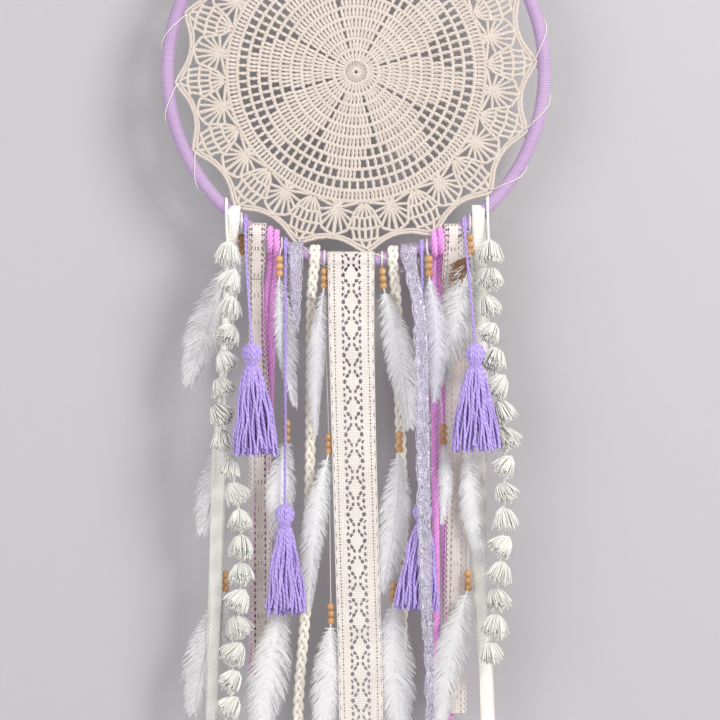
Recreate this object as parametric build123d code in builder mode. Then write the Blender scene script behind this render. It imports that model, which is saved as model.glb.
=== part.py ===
# Wall dream catcher: a yarn-wrapped hoop holding a crochet doily, with fringes, ribbons, laces, ropes,
# braids, feather strings and yarn tassels hanging from its lower half.
# Millimetres. +Z up, the front faces -Y, and the origin is the inside top of the hanging loop.
from build123d import *
import math
import os

os.makedirs("parts", exist_ok=True)

# ---- hoop, doily and hanging loop ----
HOOP_DIA = 300.0            # outside of the wrapped hoop
WRAP_DIA = 10.0             # yarn-wrapped section
CORE_DIA = 6.0              # steel ring inside the wrap
LOOP_DROP = 45.0            # inside top of the hanging loop down to the hoop
LOOP_CORD = 3.0
LOOP_BEND = 6.5             # centreline radius of the loop's top
LOOP_FOOT = 2.0             # half spacing of the loop's two legs where they meet the knot
HOOP_R = (HOOP_DIA - WRAP_DIA) / 2
HOOP_Z = -(LOOP_DROP + HOOP_DIA / 2)
WRAP_R = WRAP_DIA / 2
DOILY_THICK = 1.2
DOILY_MEAN_R = 130.5
DOILY_POINT = 5.3           # the points rise and fall this much about the mean radius
DOILY_POINTS = 16
FIRST_POINT = 3.3           # degrees from +X to the first point
TIE_CORD = 0.9
TIE_HOLE_R = 131.0          # where the lacing goes through the doily
HITCH_W = 9.0
HITCH_T = 2.6
KNOT_TOP = -41.6
LOOP_FOOT_Z = -41.2

# ---- strands: every one swings this far in its own layer, so its loop clears the hoop by that much ----
SWING_DEG = 2.5
LOOP_GAP = 0.35
LAYER_TASSEL_FRONT = -30.0
LAYER_METAL_FRONT = -25.5
LAYER_TASSEL_BACK = -19.0
LAYER_POM = -16.0
LAYER_STRING_FRONT = -9.8
LAYER_WIDE_LACE = -5.4
LAYER_STRING_MID = -1.0
LAYER_RIBBON = 3.1
LAYER_LACE = 4.5
LAYER_BRAID = 7.6
LAYER_ROPE = 8.4
LAYER_STRING_BACK = 8.6

BEAD_R = 3.0
BEAD_PITCH = 5.5
BEAD_HOLE_R = 0.9
STRING_R = 0.5
FEATHER_THICK = 1.4
FEATHER_FRONT = 1.7         # a feather lies this far in front of its string
FEATHER_BEHIND = "b lower"  # this one lies as far behind it, clear of the poms beside it


def hoop_z(x):
    """Height of the hoop's centreline, on its lower half, at x."""
    return HOOP_Z - math.sqrt(HOOP_R**2 - x**2)


def hoop_slope(x):
    """Angle of the hoop's centreline from level, at x on its lower half."""
    return math.asin(x / HOOP_R)


def wrap_loop(x, width, thick, gap):
    """A loop round the hoop with upright sides; clear_hoop() opens its middle."""
    with BuildPart() as wrapped:
        for at in (x - width / 2, x, x + width / 2):
            rise = (WRAP_R + gap + thick) / math.cos(hoop_slope(at))
            with BuildSketch(Plane.YZ.offset(at)):
                with Locations((0, hoop_z(at))):
                    Ellipse(WRAP_R + gap + thick, rise)
        loft(ruled=True)
    return wrapped.part


def clear_hoop(gap):
    """Takes the hoop, and this much air round it, out of the piece being built."""
    with Locations(Plane(origin=(0, 0, HOOP_Z), z_dir=(0, 1, 0))):
        Torus(HOOP_R, WRAP_R + gap, mode=Mode.SUBTRACT)


def swing_gap(width):
    """Air between the hoop and a loop of this width, for the strand's swing."""
    return LOOP_GAP + width / 2 * math.sin(math.radians(SWING_DEG))


def route_radii(points):
    """The largest arc that each corner's two runs allow: 0.45 of the shorter run over tan(half turn)."""
    corners = [Vector(*p) for p in points]
    radii = []
    for before, here, after in zip(corners, corners[1:], corners[2:]):
        run_in = here - before
        run_out = after - here
        half_turn = math.radians(run_in.get_angle(run_out)) / 2
        radii.append(0.45 * min(run_in.length, run_out.length) / math.tan(half_turn))
    return radii


def cord_path(points):
    """Straight runs joined by tangent arcs."""
    with BuildLine() as route:
        FilletPolyline(*points, radius=route_radii(points))
    return route.wires()[0]


def tube(path, radius):
    """A round tube along a path."""
    with BuildPart() as swept:
        with BuildSketch(Plane(origin=path @ 0, z_dir=path % 0)):
            Circle(radius)
        sweep(path=path)
    return swept.part


def strip(stations, thick):
    """A flat band through stations of (x, y, z, width), each a level cross-section."""
    with BuildPart() as band:
        for x, y, z, width in stations:
            with BuildSketch(Plane.XY.offset(z)):
                with Locations((x, y)):
                    Rectangle(width, thick)
        loft(ruled=True)
    return band.part


def report_cord(name, solid, path, points, radius):
    """Prints a cord's length, its arcs and how its volume compares with section times length."""
    arcs = " ".join(f"{r:.0f}" for r in route_radii(points))
    ratio = solid.volume / (math.pi * radius**2 * path.length)
    print(f"{name}: length {path.length:.0f}, arcs {arcs}, volume ratio {ratio:.3f}")


def save(part, name):
    part.label = name
    export_step(part, f"parts/{name}.step")


# ---- hanger: a cord loop whose two legs meet over the hitch ----
LOOP_CENTRE_Z = LOOP_CORD / 2 - LOOP_BEND
LEG = math.hypot(LOOP_FOOT, LOOP_FOOT_Z - LOOP_CENTRE_Z)
TANGENT = math.sqrt(LEG**2 - LOOP_BEND**2)
FOOT_X = -LOOP_FOOT
FOOT_Z = LOOP_FOOT_Z - LOOP_CENTRE_Z
TOUCH_X = (LOOP_BEND**2 * FOOT_X + LOOP_BEND * TANGENT * FOOT_Z) / LEG**2
TOUCH_Z = (LOOP_BEND**2 * FOOT_Z - LOOP_BEND * TANGENT * FOOT_X) / LEG**2 + LOOP_CENTRE_Z
with BuildPart() as hanging_loop:
    with BuildLine() as loop_line:
        Line((FOOT_X, 0, LOOP_FOOT_Z), (TOUCH_X, 0, TOUCH_Z))
        ThreePointArc((TOUCH_X, 0, TOUCH_Z), (0, 0, LOOP_CORD / 2), (-TOUCH_X, 0, TOUCH_Z))
        Line((-TOUCH_X, 0, TOUCH_Z), (-FOOT_X, 0, LOOP_FOOT_Z))
    loop_path = loop_line.wires()[0]
    with BuildSketch(Plane(origin=loop_path @ 0, z_dir=loop_path % 0)):
        Circle(LOOP_CORD / 2)
    sweep(path=loop_path)
save(hanging_loop.part, "hanging_loop")

# ---- hoop: steel ring, its yarn wrap, and the hitch of the hanging loop ----
RING_PLANE = Plane(origin=(0, 0, HOOP_Z), z_dir=(0, 1, 0))
with BuildPart() as hoop_core:
    with Locations(RING_PLANE):
        Torus(HOOP_R, CORE_DIA / 2)
save(hoop_core.part, "hoop_core")

with BuildPart() as hoop_wrap:
    with Locations(RING_PLANE):
        Torus(HOOP_R, WRAP_R)
        Torus(HOOP_R, CORE_DIA / 2, mode=Mode.SUBTRACT)
save(hoop_wrap.part, "hoop_wrap")

with BuildPart() as loop_hitch:
    with BuildSketch(Plane.YZ.offset(-HITCH_W / 2)):
        with Locations((0, HOOP_Z + HOOP_R)):
            Circle(WRAP_R + HITCH_T)
    extrude(amount=HITCH_W)
    with BuildSketch(Plane.XY.offset(HOOP_Z + HOOP_R)):
        Circle(HITCH_W / 2 - 0.3)
    extrude(amount=KNOT_TOP - HOOP_Z - HOOP_R)
    with Locations(RING_PLANE):
        Torus(HOOP_R, WRAP_R, mode=Mode.SUBTRACT)
save(loop_hitch.part, "loop_hitch")

# ---- doily: a flat crochet round with sixteen points, and the lacing that holds it in the hoop ----
# Where a strand sits on the hoop beside a point, its tie is moved to the nearest free place.
MOVED_TIES_X = [-104.0, -38.0, 16.5, 56.4]
MOVED_POINTS = [10, 11, 12, 13]


def doily_radius(angle):
    wave = math.cos(math.radians(DOILY_POINTS * (angle - FIRST_POINT)))
    return DOILY_MEAN_R + DOILY_POINT * wave


def tie_frames():
    """Each tie's hole, its direction out to the hoop, and the size of its bend round the wrap."""
    for k in range(DOILY_POINTS):
        if k in MOVED_POINTS:
            continue
        angle = math.radians(FIRST_POINT + 360 / DOILY_POINTS * k)
        out = Vector(math.cos(angle), 0, math.sin(angle))
        yield Vector(0, 0, HOOP_Z) + out * TIE_HOLE_R, out, HOOP_R - TIE_HOLE_R, WRAP_R + 0.6
    for x in MOVED_TIES_X:
        hole_z = HOOP_Z - math.sqrt(TIE_HOLE_R**2 - x**2)
        bend = (WRAP_R + 0.6) / math.cos(hoop_slope(x))
        yield Vector(x, 0, hole_z), Vector(0, 0, -1), hole_z - hoop_z(x), bend


TIE_EYE = 1.2
with BuildPart() as doily:
    with BuildSketch(Plane.XZ.offset(-DOILY_THICK / 2)):
        with BuildLine():
            steps = DOILY_POINTS * 6
            angles = [FIRST_POINT + 360 * i / steps for i in range(steps)]
            outline = [
                (doily_radius(a) * math.cos(math.radians(a)), HOOP_Z + doily_radius(a) * math.sin(math.radians(a)))
                for a in angles
            ]
            Polyline(*outline, close=True)
        make_face()
        with Locations((0, HOOP_Z)):
            Circle(1.5, mode=Mode.SUBTRACT)
        for hole, out, _, _ in tie_frames():
            eye = hole - out * TIE_EYE
            with Locations((eye.X, eye.Z)):
                Circle(1.0, mode=Mode.SUBTRACT)
    extrude(amount=DOILY_THICK)
save(doily.part, "doily")

with BuildPart() as doily_lacing:
    for hole, out, reach, bend in tie_frames():
        lean = math.asin((bend - TIE_EYE) / reach)
        frame = Plane(origin=hole, x_dir=out, z_dir=out.cross(Vector(0, 1, 0)))
        far_x = reach - bend * math.sin(lean)
        far_y = bend * math.cos(lean)
        near_x = -TIE_EYE * math.sin(lean)
        near_y = TIE_EYE * math.cos(lean)
        with BuildLine(frame) as tie_line:
            Line((near_x, near_y), (far_x, far_y))
            ThreePointArc((far_x, far_y), (reach + bend, 0), (far_x, -far_y))
            Line((far_x, -far_y), (near_x, -near_y))
            ThreePointArc((near_x, -near_y), (-TIE_EYE, 0), (near_x, near_y))
        tie_path = tie_line.wires()[0]
        with BuildSketch(Plane(origin=tie_path @ 0, z_dir=tie_path % 0)):
            Circle(TIE_CORD / 2)
        sweep(path=tie_path)
save(doily_lacing.part, "doily_lacing")

# ---- feather strings: string, beads in threes, and a feather under each bead group ----
# bead groups are (x, z of the top bead); feathers are (tip x, tip z, width)
FEATHER_STRINGS = {
    "a": {
        "x": -87.8, "y": LAYER_STRING_BACK,
        "groups": [(-88.4, -321.8), (-106.0, -473.0), (-101.0, -582.0)],
        "feathers": {"upper": (-128.0, -434.0, 25.0), "middle": (-118.0, -549.0, 20.0),
                     "lower": (-125.0, -688.0, 24.0)},
    },
    "b": {
        "x": -57.0, "y": LAYER_STRING_FRONT,
        "groups": [(-58.7, -339.2), (-53.4, -465.0), (-56.2, -592.0)],
        "feathers": {"upper": (-47.5, -451.0, 17.0), "middle": (-59.0, -552.0, 21.0),
                     "lower": (-72.0, -706.0, 26.0)},
    },
    "c": {
        "x": -24.2, "y": LAYER_STRING_MID,
        "groups": [(-24.6, -348.2), (-20.8, -475.5), (-19.4, -606.0)],
        "feathers": {"upper": (-31.0, -474.0, 12.0), "middle": (-36.0, -606.0, 18.0),
                     "lower": (-29.0, -709.0, 24.0)},
    },
    "d": {
        "x": 20.0, "y": LAYER_STRING_MID,
        "groups": [(20.9, -348.4), (33.0, -474.0), (28.6, -589.5)],
        "feathers": {"upper": (41.0, -468.0, 22.0), "middle": (20.0, -594.0, 23.0),
                     "lower": (36.0, -706.0, 28.0)},
    },
    "e": {
        "x": 54.4, "y": LAYER_STRING_FRONT,
        "groups": [(55.7, -339.2), (66.8, -468.0)],
        "feathers": {"upper": (60.0, -448.0, 16.0), "middle": (65.5, -541.0, 10.0)},
    },
    "f": {
        "x": 87.6, "y": LAYER_STRING_MID,
        "groups": [(88.2, -322.2), (86.5, -470.0), (86.1, -580.5)],
        "feathers": {"upper": (57.0, -438.0, 25.0), "middle": (99.0, -573.0, 18.0),
                     "lower": (66.5, -697.0, 24.0)},
    },
}
BEADS_IN_GROUP = 3
GROUP_LENGTH = BEAD_PITCH * (BEADS_IN_GROUP - 1)
GROUP_DRIFT = 0.3           # a string's sideways drift from the top of a bead group to its foot


def string_points(spec):
    """The string goes from its loop on the hoop, straight through every bead group, to under the last one."""
    x = spec["x"]
    y = spec["y"]
    points = [(x, max(-WRAP_R - 0.9, min(WRAP_R + 0.9, y)), hoop_z(x) - 0.5)]
    if abs(y) < WRAP_R:
        points = [(x, y, hoop_z(x) - WRAP_R - 0.8)]
    for number, (gx, gz) in enumerate(spec["groups"]):
        below = (gx + GROUP_DRIFT, y, gz - GROUP_LENGTH - BEAD_R - 1.0)
        if number == 0 and abs(y) < WRAP_R:
            points += [below]
        else:
            points += [(gx, y, gz + BEAD_R + 0.8), below]
    return points


def bead_planes(spec):
    """A plane for each bead, normal to the string there."""
    points = string_points(spec)
    y = spec["y"]
    for gx, gz in spec["groups"]:
        top_z = gz
        for k in range(BEADS_IN_GROUP):
            z = top_z - BEAD_PITCH * k
            for upper, lower in zip(points, points[1:]):
                if upper[2] >= z >= lower[2]:
                    share = (upper[2] - z) / (upper[2] - lower[2])
                    x = upper[0] + (lower[0] - upper[0]) * share
                    along = Vector(lower[0] - upper[0], 0, lower[2] - upper[2])
                    yield Plane(origin=(x, y, z), z_dir=along)


def bead(plane):
    """A round bead with flat ends and a hole for the string."""
    with BuildPart() as made:
        with Locations(plane):
            Cylinder(BEAD_R + 0.5, BEAD_PITCH - 0.2)
            Sphere(BEAD_R, mode=Mode.INTERSECT)
            Cylinder(BEAD_HOLE_R, BEAD_R * 3, mode=Mode.SUBTRACT)
    return made.part


for letter, spec in FEATHER_STRINGS.items():
    points = string_points(spec)
    path = cord_path(points)
    string_tube = tube(path, STRING_R)
    string_loop = wrap_loop(spec["x"], 1.6, 0.8, swing_gap(1.6))
    report_cord(f"string_{letter}", string_tube, path, points, STRING_R)
    with BuildPart() as string_cord:
        add(string_loop)
        add(string_tube)
        clear_hoop(swing_gap(1.6))
    save(string_cord.part, f"string_{letter}_cord")
    with BuildPart() as string_beads:
        for plane in bead_planes(spec):
            add(bead(plane))
    save(string_beads.part, f"string_{letter}_beads")
    for (level, (tip_x, tip_z, width)), (group_x, group_z) in zip(spec["feathers"].items(), spec["groups"]):
        root = Vector(group_x, group_z - GROUP_LENGTH - BEAD_R - 0.3)
        tip = Vector(tip_x, tip_z)
        middle = (root + tip) / 2
        across = (tip - root).normalized().rotate(Axis.Z, 90) * width / 2
        front = -FEATHER_FRONT if f"{letter} {level}" == FEATHER_BEHIND else FEATHER_FRONT
        with BuildPart() as feather:
            with BuildSketch(Plane.XZ.offset(front - spec["y"] - FEATHER_THICK / 2)):
                with BuildLine():
                    ThreePointArc(root, middle + across, tip)
                    ThreePointArc(tip, middle - across, root)
                make_face()
            extrude(amount=FEATHER_THICK)
        save(feather.part, f"feather_{letter}_{level}")

# ---- yarn tassels: a doubled yarn, a round head and a skirt that is wider than deep ----
TASSEL_YARN_R = 1.1
HEAD_R = 7.2
TASSELS = {
    "1": {"x": -84.6, "y": LAYER_TASSEL_FRONT, "head": (-78.8, -411.0), "bottom": (-75.8, -486.0), "half": 16.0,
          "bend": (-84.2, -24.5, -338.0)},
    "2": {"x": -54.0, "y": LAYER_TASSEL_BACK, "head": (-54.2, -534.0), "bottom": (-53.4, -607.5), "half": 14.0,
          "bend": (-53.7, -14.8, -341.0)},
    "3": {"x": 83.2, "y": LAYER_TASSEL_FRONT, "head": (90.5, -411.5), "bottom": (90.4, -483.0), "half": 17.0,
          "bend": (84.4, -24.5, -338.0)},
    "4": {"x": 50.4, "y": LAYER_TASSEL_BACK, "head": (50.8, -532.0), "bottom": (46.2, -604.5), "half": 15.5,
          "bend": (50.6, -15.5, -345.0)},
}
SKIRT_DEPTH = {LAYER_TASSEL_FRONT: 6.8, LAYER_TASSEL_BACK: 5.3}

for number, spec in TASSELS.items():
    head_x, head_z = spec["head"]
    bottom_x, bottom_z = spec["bottom"]
    y = spec["y"]
    depth = SKIRT_DEPTH[y]
    head_r = min(HEAD_R, depth)
    points = [
        (spec["x"], -WRAP_R - 1.0, hoop_z(spec["x"])),
        spec["bend"],
        (head_x, y, head_z + HEAD_R + 1.0),
    ]
    path = cord_path(points)
    yarn_tube = tube(path, TASSEL_YARN_R)
    yarn_loop = wrap_loop(spec["x"], 2.2, 1.4, swing_gap(2.2))
    report_cord(f"tassel_{number}_cord", yarn_tube, path, points, TASSEL_YARN_R)
    with BuildPart() as tassel_cord:
        add(yarn_loop)
        add(yarn_tube)
        clear_hoop(swing_gap(2.2))
    save(tassel_cord.part, f"tassel_{number}_cord")
    with BuildPart() as tassel:
        for rise, wide, deep in [(HEAD_R, 2.0, 2.0), (HEAD_R * 0.6, 6.2, head_r * 0.86), (0, 7.5, head_r),
                                 (-HEAD_R * 0.6, 6.8, head_r * 0.9), (-HEAD_R - 2.0, 4.8, 4.2)]:
            with BuildSketch(Plane.XY.offset(head_z + rise)):
                with Locations((head_x, y)):
                    Ellipse(wide, deep)
        loft()
        neck_z = head_z - HEAD_R - 2.0
        drop = neck_z - bottom_z
        for share, wide, deep in [(0, 4.8, 4.2), (0.3, spec["half"] * 0.72, depth * 0.9), (1, spec["half"], depth)]:
            with BuildSketch(Plane.XY.offset(neck_z - drop * share)):
                with Locations((head_x + (bottom_x - head_x) * share, y)):
                    Ellipse(wide, deep)
        loft()
    save(tassel.part, f"tassel_{number}")

# ---- pom fringes: a cord with fluffy poms in front of it ----
POM_R = 6.9
POM_PITCH = 20.5
FRINGE_CORD_R = 1.0
FRINGE_CORD_Y = LAYER_POM + POM_R + 0.35 + FRINGE_CORD_R
FRINGES = {
    "left": {
        "x": -99.5,
        "route": [(-95.5, -357.0), (-97.0, -395.0), (-103.0, -440.0), (-103.5, -472.0), (-94.5, -503.0),
                  (-88.0, -540.0), (-87.5, -580.0), (-90.5, -625.0), (-96.0, -666.0), (-96.5, -704.0)],
    },
    "right": {
        "x": 101.0,
        "route": [(103.5, -352.0), (100.5, -387.0), (107.5, -430.0), (114.5, -470.0), (114.0, -512.0),
                  (112.0, -558.0), (108.0, -600.0), (103.0, -641.0)],
    },
}
FIRST_POM = 34.0            # along the cord from the hoop

for side, spec in FRINGES.items():
    x = spec["x"]
    route = [(x, -WRAP_R - 1.0, hoop_z(x) - 0.5), (x, FRINGE_CORD_Y, hoop_z(x) - 15.0)]
    route += [(px, FRINGE_CORD_Y, pz) for px, pz in spec["route"]]
    path = cord_path(route)
    fringe_tube = tube(path, FRINGE_CORD_R)
    fringe_loop = wrap_loop(x, 2.0, 1.3, swing_gap(2.0))
    report_cord(f"pom_fringe_{side}_cord", fringe_tube, path, route, FRINGE_CORD_R)
    with BuildPart() as fringe_cord:
        add(fringe_loop)
        add(fringe_tube)
        clear_hoop(swing_gap(2.0))
    save(fringe_cord.part, f"pom_fringe_{side}_cord")
    pom_count = int((path.length - FIRST_POM) / POM_PITCH) + 1
    with BuildPart() as poms:
        for k in range(pom_count):
            at = path.position_at((FIRST_POM + POM_PITCH * k) / path.length)
            with Locations((at.X, LAYER_POM, at.Z)):
                Sphere(POM_R)
    save(poms.part, f"pom_fringe_{side}_poms")

# ---- flat strands: ribbons, laces, metallic ribbons and braids, each with its loop on the hoop ----
# stations below the loop are (x, y, z, width)
FLAT_STRANDS = {
    "ivory_ribbon_left": {
        "x": -93.6, "loop": 8.0, "thick": 1.0,
        "stations": [(-96.5, LAYER_RIBBON, -322.0, 5.0), (-98.0, LAYER_RIBBON, -340.0, 3.6),
                     (-103.0, LAYER_RIBBON, -440.0, 4.0), (-105.5, LAYER_RIBBON, -490.0, 9.5), (-107.5, LAYER_RIBBON, -570.0, 9.0),
                     (-110.5, LAYER_RIBBON, -650.0, 7.5), (-112.0, LAYER_RIBBON, -716.0, 6.0)],
    },
    "ivory_ribbon_right": {
        "x": 94.0, "loop": 8.0, "thick": 1.0,
        "stations": [(95.5, LAYER_RIBBON, -345.0, 9.0), (96.0, LAYER_RIBBON, -420.0, 9.5),
                     (95.0, LAYER_RIBBON, -520.0, 9.5), (95.0, LAYER_RIBBON, -600.0, 8.5),
                     (100.0, LAYER_RIBBON, -650.0, 8.5), (102.0, LAYER_RIBBON, -708.0, 9.5)],
    },
    "narrow_lace_left": {
        "x": -75.9, "loop": 12.4, "thick": 1.0,
        "stations": [(-77.0, LAYER_LACE, -335.0, 10.0), (-76.8, LAYER_LACE, -350.0, 9.5), (-76.4, LAYER_LACE, -400.0, 10.5),
                     (-74.2, LAYER_LACE, -450.0, 15.5), (-73.4, LAYER_LACE, -653.0, 16.0)],
    },
    "narrow_lace_right": {
        "x": 75.0, "loop": 12.4, "thick": 1.0,
        "stations": [(74.6, LAYER_LACE, -335.0, 12.0), (73.7, LAYER_LACE, -350.0, 14.0), (77.5, LAYER_LACE, -430.0, 16.0),
                     (78.8, LAYER_LACE, -500.0, 16.5), (76.5, LAYER_LACE, -595.0, 15.5),
                     (76.5, LAYER_LACE, -689.0, 15.0)],
    },
    "wide_lace": {
        "x": -3.8, "loop": 35.0, "thick": 1.2,
        "stations": [(-3.4, LAYER_WIDE_LACE, -400.0, 34.0), (-1.5, LAYER_WIDE_LACE, -480.0, 33.0),
                     (1.0, LAYER_WIDE_LACE, -570.0, 33.0), (3.2, LAYER_WIDE_LACE, -640.0, 33.0),
                     (4.6, LAYER_WIDE_LACE, -722.0, 33.0)],
    },
    "metallic_ribbon_left": {
        "x": -46.3, "loop": 10.6, "thick": 1.0,
        "stations": [(-46.8, -6.4, -350.0, 10.0), (-47.5, -6.4, -395.0, 7.0)],
    },
    "metallic_ribbon_right": {
        "x": 41.0, "loop": 13.0, "thick": 1.0,
        "stations": [(41.8, -13.0, -345.0, 10.5), (45.0, -20.5, -359.0, 10.0), (49.0, -23.5, -380.0, 10.0),
                     (50.5, LAYER_METAL_FRONT, -420.0, 10.5), (52.0, LAYER_METAL_FRONT, -520.0, 10.5),
                     (53.0, LAYER_METAL_FRONT, -590.0, 9.5), (55.8, LAYER_METAL_FRONT, -640.0, 6.0),
                     (57.0, LAYER_METAL_FRONT, -712.0, 6.0)],
    },
    "braid_left": {
        "x": -31.5, "loop": 8.4, "thick": 3.6,
        "stations": [(-34.5, LAYER_BRAID, -370.0, 8.6), (-35.0, LAYER_BRAID, -470.0, 8.6),
                     (-36.5, LAYER_BRAID, -560.0, 8.6), (-39.0, LAYER_BRAID, -612.0, 8.6),
                     (-43.5, LAYER_BRAID, -664.0, 9.5), (-46.0, LAYER_BRAID, -722.0, 14.0)],
    },
    "braid_right": {
        "x": 28.5, "loop": 8.4, "thick": 3.6,
        "stations": [(31.0, LAYER_BRAID, -370.0, 8.6), (33.5, LAYER_BRAID, -440.0, 8.6),
                     (36.0, LAYER_BRAID, -530.0, 8.6), (36.0, LAYER_BRAID, -600.0, 8.6),
                     (34.5, LAYER_BRAID, -660.0, 10.0)],
    },
}
LOOP_THICK = {1.0: 1.0, 1.2: 1.0, 3.6: 2.6}

for name, spec in FLAT_STRANDS.items():
    x = spec["x"]
    first = spec["stations"][0]
    gap = swing_gap(spec["loop"])
    loop_thick = LOOP_THICK[spec["thick"]]
    side = WRAP_R + gap + loop_thick / 2
    start_y = max(-side, min(side, first[1]))
    strand_loop = wrap_loop(x, spec["loop"], loop_thick, gap)
    tail = strip([(x, start_y, hoop_z(x), spec["loop"] - 0.2)] + spec["stations"], spec["thick"])
    with BuildPart() as flat_strand:
        add(strand_loop)
        add(tail)
        clear_hoop(gap)
    save(flat_strand.part, name)
    print(f"{name}: solids {len(flat_strand.part.solids())}")

# ---- ropes: each is folded over the hoop and hangs as two strands ----
ROPE_R = 2.9
ROPES = {
    "left": {
        "x": -63.6,
        "strands": [
            [(-70.6, -366.0), (-71.3, -428.0), (-75.5, -520.0), (-79.0, -600.0), (-80.5, -656.0)],
            [(-64.7, -366.0), (-65.3, -428.0), (-69.4, -520.0), (-72.6, -600.0), (-74.2, -648.0)],
        ],
    },
    "right": {
        "x": 62.6,
        "strands": [
            [(59.6, -360.0), (59.9, -440.0), (61.2, -520.0), (62.4, -600.0), (62.2, -683.0)],
            [(65.6, -360.0), (66.1, -440.0), (67.3, -520.0), (69.6, -600.0), (72.2, -693.0)],
        ],
    },
}
for side, spec in ROPES.items():
    x = spec["x"]
    rope_loop = wrap_loop(x, 9.8, 2.8, swing_gap(9.8))
    rope_tubes = []
    for offset, lower in zip((-2.95, 2.95), spec["strands"]):
        top = hoop_z(x + offset)
        route = [(x + offset * 0.65, 5.2, top - 5.5), (x + offset, LAYER_ROPE, top - 20.0)]
        route += [(px, LAYER_ROPE, pz) for px, pz in lower]
        path = cord_path(route)
        rope_tubes.append(tube(path, ROPE_R))
        report_cord(f"rope_{side}", rope_tubes[-1], path, route, ROPE_R)
    with BuildPart() as rope:
        add(rope_loop)
        add(rope_tubes)
        clear_hoop(swing_gap(9.8))
    save(rope.part, f"rope_{side}")
    print(f"rope_{side}: solids {len(rope.part.solids())}")
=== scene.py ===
import math

import bpy
import numpy as np
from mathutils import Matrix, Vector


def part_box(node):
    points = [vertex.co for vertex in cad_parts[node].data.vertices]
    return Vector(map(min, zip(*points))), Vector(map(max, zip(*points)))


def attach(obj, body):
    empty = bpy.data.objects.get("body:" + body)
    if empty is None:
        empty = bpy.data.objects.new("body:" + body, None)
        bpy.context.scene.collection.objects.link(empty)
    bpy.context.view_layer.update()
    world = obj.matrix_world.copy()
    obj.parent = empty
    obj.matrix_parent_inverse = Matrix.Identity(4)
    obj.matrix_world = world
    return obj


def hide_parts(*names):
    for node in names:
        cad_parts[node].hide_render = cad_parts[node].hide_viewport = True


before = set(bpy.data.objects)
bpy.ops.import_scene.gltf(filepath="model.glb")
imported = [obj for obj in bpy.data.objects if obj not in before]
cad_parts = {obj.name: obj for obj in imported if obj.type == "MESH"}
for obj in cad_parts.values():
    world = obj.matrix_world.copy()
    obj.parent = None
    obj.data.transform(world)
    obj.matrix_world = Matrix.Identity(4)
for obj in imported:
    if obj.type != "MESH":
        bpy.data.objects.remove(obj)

# Dream catcher: yarn, cotton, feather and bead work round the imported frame. Metres, front facing -Y.
MM = 0.001
TAU = 2 * math.pi
UP = np.array([0, 0, 1])
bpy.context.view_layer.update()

# ---- places taken from the frame ----
WRAP_LOW, WRAP_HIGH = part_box("hoop_wrap")
HOOP_Z = (WRAP_LOW[2] + WRAP_HIGH[2]) / 2
WRAP_R = (WRAP_HIGH[1] - WRAP_LOW[1]) / 2
HOOP_R = (WRAP_HIGH[0] - WRAP_LOW[0]) / 2 - WRAP_R


def hoop_z(x):
    """Height of the hoop's centreline at x, on its lower half."""
    return HOOP_Z - np.sqrt(HOOP_R**2 - x**2)


def hoop_slope(x):
    """Angle of the hoop's centreline from level, at x on its lower half."""
    return math.asin(x / HOOP_R)


# ---- node tools for materials ----
class Shader:
    """A small builder for one procedural material."""

    def __init__(self, name, roughness, sheen=0.0, metallic=0.0, subsurface=0.0):
        self.material = bpy.data.materials.new(name)
        self.material.use_nodes = True
        self.tree = self.material.node_tree
        self.surface = self.tree.nodes["Principled BSDF"]
        self.surface.inputs["Roughness"].default_value = roughness
        self.surface.inputs["Metallic"].default_value = metallic
        self.surface.inputs["Sheen Weight"].default_value = sheen
        self.surface.inputs["Sheen Roughness"].default_value = 0.4
        self.surface.inputs["Specular IOR Level"].default_value = 0.25
        self.surface.inputs["Subsurface Weight"].default_value = subsurface
        self.surface.inputs["Subsurface Radius"].default_value = (0.004, 0.003, 0.003)
        self.surface.inputs["Subsurface Scale"].default_value = 0.5

    def node(self, kind, **values):
        made = self.tree.nodes.new(kind)
        for key, value in values.items():
            setattr(made, key, value)
        return made

    def link(self, value, socket):
        if hasattr(value, "is_output"):
            self.tree.links.new(value, socket)
        else:
            socket.default_value = value

    def math(self, operation, first, second=0.0):
        made = self.node("ShaderNodeMath", operation=operation)
        self.link(first, made.inputs[0])
        self.link(second, made.inputs[1])
        return made.outputs[0]

    def plus(self, first, second):
        return self.math("ADD", first, second)

    def times(self, first, second):
        return self.math("MULTIPLY", first, second)

    def attribute(self, name, output="Fac"):
        return self.node("ShaderNodeAttribute", attribute_name=name).outputs[output]

    def noise(self, scale, detail=2.0, stretch=None):
        coords = self.node("ShaderNodeTexCoord").outputs["Object"]
        if stretch:
            mapping = self.node("ShaderNodeMapping")
            mapping.inputs["Scale"].default_value = stretch
            self.link(coords, mapping.inputs["Vector"])
            coords = mapping.outputs["Vector"]
        made = self.node("ShaderNodeTexNoise")
        self.link(coords, made.inputs["Vector"])
        made.inputs["Scale"].default_value = scale
        made.inputs["Detail"].default_value = detail
        return made.outputs["Fac"]

    def mix(self, factor, first, second):
        made = self.node("ShaderNodeMix", data_type="RGBA")
        self.link(factor, made.inputs["Factor"])
        for value, socket in ((first, made.inputs[6]), (second, made.inputs[7])):
            self.link(value if hasattr(value, "is_output") else (*value, 1.0), socket)
        return made.outputs[2]

    def ramp(self, value, low, high):
        made = self.node("ShaderNodeMapRange")
        self.link(value, made.inputs["Value"])
        made.inputs["From Min"].default_value = low
        made.inputs["From Max"].default_value = high
        return made.outputs["Result"]

    def colour(self, value):
        self.link(value, self.surface.inputs["Base Color"])

    def bump(self, height, distance, strength=1.0):
        made = self.node("ShaderNodeBump")
        made.inputs["Strength"].default_value = strength
        made.inputs["Distance"].default_value = distance
        self.link(height, made.inputs["Height"])
        self.link(made.outputs["Normal"], self.surface.inputs["Normal"])


PHASE_SPREAD = 37.0          # turns of twist between one thread's start and another's


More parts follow.
